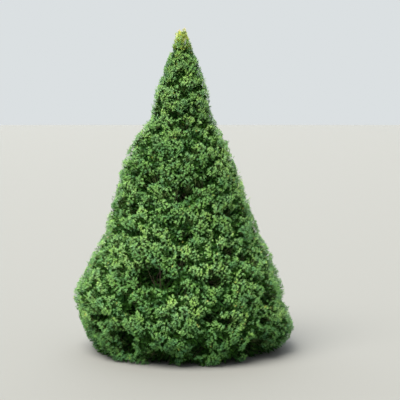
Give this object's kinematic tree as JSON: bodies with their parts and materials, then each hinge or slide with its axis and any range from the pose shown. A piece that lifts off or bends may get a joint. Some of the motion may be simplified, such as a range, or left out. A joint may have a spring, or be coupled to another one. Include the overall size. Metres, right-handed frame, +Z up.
{
  "type": "dwarf alberta spruce",
  "caption": "Dense cone-shaped dwarf spruce rooted in the ground: a tapering trunk inside tiers of foliage masses carried on short boughs.",
  "frame": {"origin": "middle of the flat cut under the trunk, at ground level", "axes": "+Z up along the trunk; -Y is the side that the picture looks at; +X is to the picture's right"},
  "size_m": [1.4346, 1.3887, 2.11],
  "materials": {
    "bark": "thin scaly grey-brown bark, matte",
    "foliage": "fine fresh-green spruce needles, slightly waxy"
  },
  "bodies": {
    "root": {"trunk": "bark", "bough_skirt_1": "bark", "bough_skirt_2": "bark", "bough_skirt_3": "bark", "bough_skirt_4": "bark", "bough_skirt_5": "bark", "bough_skirt_6": "bark", "bough_skirt_7": "bark", "bough_low_1": "bark", "bough_low_2": "bark", "bough_low_3": "bark", "bough_low_4": "bark", "bough_low_5": "bark", "bough_low_6": "bark", "bough_middle_1": "bark", "bough_middle_2": "bark", "bough_middle_3": "bark", "bough_middle_4": "bark", "bough_middle_5": "bark", "bough_middle_6": "bark", "bough_upper_1": "bark", "bough_upper_2": "bark", "bough_upper_3": "bark", "bough_upper_4": "bark", "bough_upper_5": "bark", "foliage_skirt_1": "foliage", "foliage_skirt_2": "foliage", "foliage_skirt_3": "foliage", "foliage_skirt_4": "foliage", "foliage_skirt_5": "foliage", "foliage_skirt_6": "foliage", "foliage_skirt_7": "foliage", "foliage_low_1": "foliage", "foliage_low_2": "foliage", "foliage_low_3": "foliage", "foliage_low_4": "foliage", "foliage_low_5": "foliage", "foliage_low_6": "foliage", "foliage_middle_1": "foliage", "foliage_middle_2": "foliage", "foliage_middle_3": "foliage", "foliage_middle_4": "foliage", "foliage_middle_5": "foliage", "foliage_middle_6": "foliage", "foliage_upper_1": "foliage", "foliage_upper_2": "foliage", "foliage_upper_3": "foliage", "foliage_upper_4": "foliage", "foliage_upper_5": "foliage", "foliage_shoulder_1": "foliage", "foliage_shoulder_2": "foliage", "foliage_shoulder_3": "foliage", "foliage_shoulder_4": "foliage", "foliage_neck_1": "foliage", "foliage_neck_2": "foliage", "foliage_neck_3": "foliage", "foliage_crest_1": "foliage", "foliage_crest_2": "foliage", "foliage_crest_3": "foliage", "foliage_tip": "foliage"}
  },
  "joints": []
}
